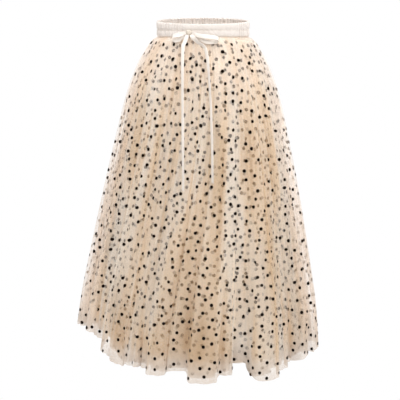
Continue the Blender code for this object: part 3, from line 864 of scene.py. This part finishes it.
def close_ends(mesh, first, last):
    """Close both ends of a flat tube with strips of faces between its two sides."""
    body = bmesh.new()
    body.from_mesh(mesh)
    body.verts.ensure_lookup_table()
    for ends, order in ((first, 1), (last, -1)):
        for k in range(len(ends) // 2 - 1):
            corners = (ends[k], ends[k + 1], ends[-2 - k], ends[-1 - k])
            body.faces.new([body.verts[corner] for corner in corners[::order]])
    finish_mesh(body, mesh)


def build_loop(name, route, node):
    """A bow loop: a front and a back stretch with a fold at the far end, lying on the skirt."""
    places = smooth_route(route, LOOP_STEPS)
    share = np.linspace(0, 1, len(places))
    lean = LOOP_LEAN_AT_KNOT + (LOOP_LEAN_AT_END - LOOP_LEAN_AT_KNOT) * np.sin(np.pi * share) ** 2
    width = opened_width(np.minimum(share, 1 - share) / LOOP_OPENS)
    rise = width / 2 * np.cos(lean)
    out = width / 2 * np.sin(lean)
    knot = knot_depth()
    lowest = np.stack([places[:, 0], np.full(len(places), places[:, 1].min())], axis=1)
    clear = front_surface(lowest, RIBBON_WIDTH / 2)
    swell = knot + (softened(clear, LOOP_CLEAR_PASSES) - knot) * np.sin(np.pi * share) ** LOOP_SWELL
    up = np.stack([0 * rise, rise], axis=1)
    foot = front_surface(places[:, :2] - up, RIBBON_WIDTH / 2) - out
    head = front_surface(places[:, :2] + up, RIBBON_WIDTH / 2) + out
    depth = softened(np.maximum(swell, np.maximum(foot, head)), LOOP_PASSES)
    centre = np.stack([places[:, 0], -depth - RIBBON_STAND - places[:, 2], places[:, 1]], axis=1)
    across = np.stack([0 * lean, -np.sin(lean), -np.cos(lean)], axis=1)
    cup = LOOP_CUP * np.sin(3 * np.pi * share) + LOOP_UNEVEN * np.sin(LOOP_UNEVEN_TURN * share)
    mesh = ribbon_mesh(name, centre, across, cup, width)
    return add_piece(name, mesh, "ribbon", node)


def build_tail(name, route, turns, node):
    """A hanging end of the ribbon: it lies on the folds, half turned, and twists a little."""
    places = smooth_route(route, TAIL_STEPS)
    surface = front_surface(places, RIBBON_WIDTH / 2)
    highest = [surface[max(k - TAIL_REACH, 0):k + TAIL_REACH + 1].max() for k in range(len(surface))]
    surface = softened(np.array(highest), TAIL_PASSES)
    share = np.linspace(0, 1, len(places))
    turn = np.radians(np.interp(share, np.linspace(0, 1, len(turns)), turns))
    turn = softened(turn, TURN_PASSES)
    width = opened_width(share / TAIL_OPENS)
    stand = RIBBON_STAND + RIBBON_WIDTH / 2 * np.abs(np.sin(turn))
    settled = (places[:, 1] - places[0, 1]) / TAIL_SETTLES
    over = TAIL_OVER_LOOP * np.clip(1 - settled, 0, 1) ** TAIL_SETTLING
    centre = np.stack([places[:, 0], -surface - stand - over, places[:, 1]], axis=1)
    across = np.stack([np.cos(turn), -np.sin(turn), 0 * turn], axis=1)
    cup = TAIL_CUP * np.sin(5 * np.pi * share) - TAIL_HOLLOW
    mesh = ribbon_mesh(name, centre, across, cup, width)
    return add_piece(name, mesh, "ribbon", node)


def signed_power(values, power):
    """A power of values that keeps their signs, for rounded boxes."""
    return np.sign(values) * np.abs(values) ** power


def build_knot():
    """The knot: the ribbon wrapped over itself, creased and pinched."""
    turn = np.linspace(0, 2 * np.pi, KNOT_COLUMNS + 1)[None, :]
    lift = np.linspace(-KNOT_POLE, KNOT_POLE, KNOT_ROWS)[:, None]
    wide = signed_power(np.cos(turn), KNOT_ROUND)
    deep = signed_power(np.sin(turn), KNOT_ROUND)
    ring = np.abs(np.cos(lift)) ** KNOT_SWELL
    crease = 1.0
    for shift, depth, width in KNOT_CREASES:
        beside = np.mod(turn + KNOT_SLANT * lift + shift, 2 * np.pi) - np.pi
        crease = crease - depth * np.exp(-(beside / width) ** 2)
    x = KNOT_SIZE.x / 2 * ring * wide * crease * KNOT_WIDER
    y = KNOT_SIZE.y / 2 * ring * deep * crease
    z = KNOT_SIZE.z / 2 * signed_power(np.sin(lift), KNOT_HEIGHT_ROUND) * (1 - KNOT_SAG * wide ** 2)
    points = np.stack([
        KNOT_CENTRE[0] + x * math.cos(KNOT_TILT) - z * math.sin(KNOT_TILT),
        -(knot_depth() + SEAM_GAP + KNOT_SIZE.y / 2) + y,
        KNOT_CENTRE[1] + x * math.sin(KNOT_TILT) + z * math.cos(KNOT_TILT),
    ], axis=-1)
    mesh = grid_mesh("ribbon_knot", points[::-1])
    body = bmesh.new()
    body.from_mesh(mesh)
    bmesh.ops.remove_doubles(body, verts=body.verts[:], dist=1e-6)
    bmesh.ops.holes_fill(body, edges=[e for e in body.edges if e.is_boundary], sides=0)
    finish_mesh(body, mesh)
    # Painted shade over the whole knot.
    put_value(mesh, "shade", np.full(len(mesh.vertices), KNOT_SHADE))
    return add_piece("ribbon_knot", mesh, "ribbon", "bow_knot")


# ---- materials
# A net's cells, the haze that its finest fibres leave over the holes, and what a thread adds to it.
NET_CELL = 0.0010
NET_HAZE = 0.08
NET_SOLID = 0.76
# The half width of a thread, in cells, for a share of cover: linear and cubic parts.
THREAD_LINEAR = 0.171
THREAD_CUBIC = 0.1385
THREAD_EDGE = 0.025
# Each net's colours: pale (painted light), middle, and painted shade deep in the valleys; and what is added
# to its cover.
OUTER_NET = ((0.94, 0.865, 0.775), (0.88, 0.67, 0.465), (0.64, 0.44, 0.27), -0.14)
SECOND_NET = ((0.94, 0.89, 0.82), (0.89, 0.78, 0.655), (0.67, 0.53, 0.38), -0.05)
# Painted light where the net hangs bare at the sides and near the waist; painted shade at its bare hem.
PAINTED_SIDE_LIGHT, PAINTED_SIDE_LIGHT_SHARE = (0.95, 0.83, 0.73), 0.85
PAINTED_HEM_SHADE, PAINTED_HEM_SHADE_SHARE = (0.68, 0.58, 0.495), 0.90
LINING_HEM_FROM = 0.975


class Material:
    """A Principled material, with methods that add nodes and give their outputs."""

    def __init__(self, name, colour, roughness, sheen=0.0, sheen_roughness=0.5, specular=0.5):
        self.made = bpy.data.materials.new(name)
        self.made.use_nodes = True
        self.nodes = self.made.node_tree.nodes
        self.shader = self.nodes["Principled BSDF"].inputs
        constants = {
            "Base Color": colour, "Roughness": roughness, "Specular IOR Level": specular,
            "Sheen Weight": sheen, "Sheen Roughness": sheen_roughness,
        }
        for socket, value in constants.items():
            self.feed(self.shader[socket], value)
        self.place = self.node("TexCoord", "Object", {})

    def feed(self, socket, value):
        """Give a socket a number, a colour, a vector or another socket's value."""
        if isinstance(value, bpy.types.NodeSocket):
            self.made.node_tree.links.new(value, socket)
        else:
            socket.default_value = (*value, 1) if socket.type == "RGBA" else value

    def node(self, kind, output, inputs, **settings):
        """One of the outputs of a new node."""
        node = self.nodes.new("ShaderNode" + kind)
        for name, value in settings.items():
            setattr(node, name, value)
        for name, value in inputs.items():
            self.feed(node.inputs[name], value)
        return node.outputs[output]

    def noise(self, scale, detail=2.0, place=None):
        """Noise over the places, about 0.5."""
        return self.node("TexNoise", "Fac", {"Scale": scale, "Detail": detail, "Vector": place or self.place})

    def value(self, name):
        """The number that the mesh holds for each point."""
        return self.node("Attribute", "Fac", {}, attribute_name=name)

    def maths(self, operation, *values, clamp=False):
        """A sum on sockets or numbers."""
        return self.node("Math", 0, dict(enumerate(values)), operation=operation, use_clamp=clamp)

    def mix(self, factor, first, second):
        """A colour between two colours."""
        return self.node("Mix", 2, {0: factor, 6: first, 7: second}, data_type="RGBA")

    def ramp(self, source, low, high, to_low=0.0, to_high=1.0):
        """A value mapped from one range to another, clamped."""
        ends = {"From Min": low, "From Max": high, "To Min": to_low, "To Max": to_high}
        return self.node("MapRange", "Result", {"Value": source, **ends}, clamp=True)

    def weave(self, pitch):
        """Crossing threads as a height: waves up the cloth and waves round it."""
        x, y, z = (self.node("SeparateXYZ", axis, {0: self.place}) for axis in "XYZ")
        turn = 2 * math.pi / pitch
        level = self.maths("SINE", self.maths("MULTIPLY", z, turn))
        upright = self.maths("SINE", self.maths("MULTIPLY", self.maths("ADD", x, y), turn))
        return self.maths("MULTIPLY", level, upright)

    def finish(self, colour, height=None, strength=0.0, distance=0.0):
        """The material with its colour, and its shading raised by a height."""
        self.feed(self.shader["Base Color"], colour)
        if height:
            raised = {"Strength": strength, "Distance": distance, "Height": height}
            self.feed(self.shader["Normal"], self.node("Bump", "Normal", raised))
        return self.made


def net_material(name, painted_light_colour, thread, shadow, added):
    """Fine net: threads round small cells, with open holes between them that let the layers show."""
    net = Material(name, thread, 0.8, sheen=0.04, sheen_roughness=0.4, specular=0.12)
    cells = {"Scale": 1 / NET_CELL, "Vector": net.place}
    to_edge = net.node("TexVoronoi", "Distance", cells, feature="DISTANCE_TO_EDGE")
    uneven = net.ramp(net.noise(9.0, 3.0), 0.3, 0.7, -0.05, 0.05)
    wanted = net.maths("ADD", net.maths("ADD", net.value("cover"), added), uneven)
    share = net.ramp(wanted, NET_HAZE, NET_HAZE + NET_SOLID)
    cubed = net.maths("MULTIPLY", net.maths("POWER", share, 3.0), THREAD_CUBIC)
    half_width = net.maths("MULTIPLY_ADD", share, THREAD_LINEAR, cubed)
    gap = net.maths("SUBTRACT", to_edge, half_width)
    threads = net.ramp(gap, -THREAD_EDGE, THREAD_EDGE, 1.0, 0.0)
    net.feed(net.shader["Alpha"], net.maths("MULTIPLY_ADD", threads, NET_SOLID, NET_HAZE, clamp=True))
    tone = net.value("tone")
    # Painted light (pale) on ridges and streaks, the thread's colour, and painted shade deep in the pleats'
    # valleys.
    deep = net.mix(net.ramp(tone, 0.40, 0.95), thread, shadow)
    colour = net.mix(net.ramp(tone, 0.05, 0.40), painted_light_colour, deep)
    # Painted light at the bare sides and near the waist, and painted shade at the bare hem.
    colour = net.mix(net.maths("MULTIPLY", net.value("sides"), PAINTED_SIDE_LIGHT_SHARE), colour, PAINTED_SIDE_LIGHT)
    colour = net.mix(net.maths("MULTIPLY", net.value("hem"), PAINTED_HEM_SHADE_SHARE), colour, PAINTED_HEM_SHADE)
    return net.finish(colour)


def casing_material():
    """Cream woven casing: fine weave, slubs, and painted shade in the creases along the stitched lines."""
    casing = Material("casing", (0.83, 0.77, 0.70), 0.85, sheen=0.1, specular=0.2)
    noise = casing.noise(160.0, 4.0)
    plain = casing.mix(casing.ramp(noise, 0.35, 0.65), (0.765, 0.71, 0.668), (0.72, 0.66, 0.615))
    # Painted shade in the creases along the stitched lines.
    crease = casing.ramp(casing.value("crease"), 0.0, 1.0, 0.0, 0.25)
    colour = casing.mix(crease, plain, (0.66, 0.56, 0.46))
    return casing.finish(colour, casing.maths("ADD", casing.weave(0.0009), noise), 0.25, 0.0003)


def lining_material():
    """Tan satin: smooth, with long faint streaks down its length, a soft lustre and a turned hem."""
    satin = Material("satin", (0.55, 0.40, 0.27), 0.42, sheen=0.1, specular=0.4)
    stretched = satin.node("Mapping", "Vector", {"Vector": satin.place, "Scale": (60.0, 60.0, 2.0)})
    streaks = satin.noise(1.0, 3.0, stretched)
    colour = satin.mix(satin.ramp(streaks, 0.3, 0.7), (0.94, 0.77, 0.58), (0.87, 0.70, 0.51))
    turned = satin.maths("GREATER_THAN", satin.value("length_down"), LINING_HEM_FROM)
    colour = satin.mix(satin.maths("MULTIPLY", turned, 0.35), colour, (0.60, 0.45, 0.30))
    return satin.finish(colour, streaks, 0.15, 0.001)


def ribbon_material():
    """Soft cream ribbon with a fine weave, and painted shade at the knot."""
    ribbon = Material("ribbon_weave", (0.82, 0.75, 0.67), 0.6, sheen=0.1, specular=0.3)
    noise = ribbon.noise(220.0)
    colour = ribbon.mix(noise, (0.81, 0.755, 0.70), (0.77, 0.71, 0.65))
    # Painted shade where the mesh holds a shade value: the knot.
    colour = ribbon.mix(ribbon.value("shade"), colour, (0.62, 0.54, 0.43))
    return ribbon.finish(colour, ribbon.maths("ADD", ribbon.weave(0.0007), noise), 0.2, 0.0002)


def flock_material(name, dark, light):
    """Velvety flock, black on the outer net and a warm dark brown on the nets inside, where the same black
    dots are seen through the tan outer net.
    """
    flock = Material(name, dark, 0.95, sheen=0.03, specular=0.05)
    noise = flock.noise(900.0)
    return flock.finish(flock.mix(noise, dark, light), noise, 0.4, 0.0004)


def thread_material():
    """Cream sewing thread."""
    thread = Material("thread", (0.90, 0.83, 0.74), 0.55, sheen=0.2)
    return thread.finish(thread.mix(thread.noise(700.0), (0.94, 0.88, 0.80), (0.84, 0.76, 0.66)))


MATERIALS = {
    "outer": net_material("outer_net", *OUTER_NET),
    "second": net_material("second_net", *SECOND_NET),
    "satin": lining_material(),
    "casing": casing_material(),
    "ribbon": ribbon_material(),
    "flock": flock_material("flock", (0.004, 0.002, 0.002), (0.016, 0.010, 0.007)),
    "inner_flock": flock_material("inner_flock", (0.030, 0.014, 0.006), (0.048, 0.022, 0.009)),
    "thread": thread_material(),
}

# ---- studio
CAMERA_PLACE = (-0.0075, -3.400, 0.345)
CAMERA_DOWN = 13.01
CAMERA_LENS = 121.82
CAMERA_SENSOR = 36.0
CAMERA_REACH = 60
FLOOR_Z = -1.05
ROOM_RADIUS = 12.0
ROOM_BEND = 1.5
ROOM_HEIGHT = 12.0
ROOM_CENTRE, BEND_POINTS, ROUND_POINTS = 0.001, 13, 73
AIR_COLOUR = (1.0, 0.985, 0.97)
AIR_STRENGTH = 0.66
# The lamps' names, places, targets, sizes and powers.
LAMPS = (
    ("key", (0.9, -2.4, 1.7), (0.0, 0.0, -0.25), 1.6, 43),
    ("left", (-2.6, -0.6, 0.2), (0.0, 0.0, -0.4), 2.0, 24),
    ("right", (2.6, -0.6, 0.2), (0.0, 0.0, -0.4), 2.0, 20),
    ("top", (0.0, -0.6, 2.2), (0.0, 0.0, 0.0), 1.4, 29),
    ("behind", (-0.9, 2.6, 1.2), (0.0, 0.0, -0.35), 2.0, 24),
)
CLEAR_LAYERS = 48
LIGHT_BOUNCES = 10


def build_room():
    """A white floor that sweeps up into a round wall, which only the camera sees."""
    turns = np.linspace(0, math.pi / 2, BEND_POINTS)
    bend = ROOM_RADIUS - ROOM_BEND + ROOM_BEND * np.sin(turns)
    reach = np.concatenate([[ROOM_CENTRE], bend, [ROOM_RADIUS]])
    level = np.concatenate([[FLOOR_Z], FLOOR_Z + ROOM_BEND * (1 - np.cos(turns)), [ROOM_HEIGHT]])
    angle = np.linspace(0, 2 * math.pi, ROUND_POINTS)[:, None]
    points = np.stack([reach * np.cos(angle), reach * np.sin(angle), level + 0 * angle], axis=-1)
    mesh = grid_mesh("studio_sweep", points)
    white = Material("studio_white", (0.0, 0.0, 0.0), 1.0, specular=0.0)
    white.feed(white.shader["Emission Color"], (1, 1, 1))
    white.feed(white.shader["Emission Strength"], 1.0)
    mesh.materials.append(white.made)
    sweep = add_object("studio_sweep", mesh)
    sweep.visible_diffuse = False
    sweep.visible_glossy = False
    sweep.visible_shadow = False


def build_camera():
    """The camera, at the photo's distance and tilt."""
    data = bpy.data.cameras.new("camera")
    data.lens = CAMERA_LENS
    data.sensor_width = CAMERA_SENSOR
    data.clip_end = CAMERA_REACH
    camera = add_object("camera", data)
    camera.location = CAMERA_PLACE
    camera.rotation_euler = (math.radians(90 - CAMERA_DOWN), 0, 0)
    bpy.context.scene.camera = camera


def build_lights():
    """Soft round lamps on all sides, and pale air."""
    for name, place, target, size, power in LAMPS:
        data = bpy.data.lights.new(name, "AREA")
        data.shape = "DISK"
        data.size = size
        data.energy = power
        lamp = add_object(name, data)
        lamp.location = place
        lamp.rotation_euler = (Vector(target) - Vector(place)).to_track_quat("-Z", "Y").to_euler()
    world = bpy.data.worlds.new("studio_air")
    world.use_nodes = True
    air = world.node_tree.nodes["Background"]
    air.inputs["Color"].default_value = (*AIR_COLOUR, 1)
    air.inputs["Strength"].default_value = AIR_STRENGTH
    scene = bpy.context.scene
    scene.world = world
    scene.view_settings.view_transform = "Standard"
    scene.view_settings.look = "None"
    scene.cycles.transparent_max_bounces = CLEAR_LAYERS
    scene.cycles.max_bounces = LIGHT_BOUNCES


# ---- everything
for half in (FRONT, BACK):
    for layer, inner in ((OUTER, None), (SECOND, PLY)):
        net, dots = build_net(half, layer)
        going = [dots, *build_net(half, inner)] if inner else [dots]
    lining = build_lining(half)
    casing, stitches = build_band(half)

for name, route, node, length in LOOPS:
    piece = build_loop(name, route, node)
for name, route, turns, node, length in TAILS:
    piece = build_tail(name, route, turns, node)
build_knot()
build_room()
build_camera()
build_lights()
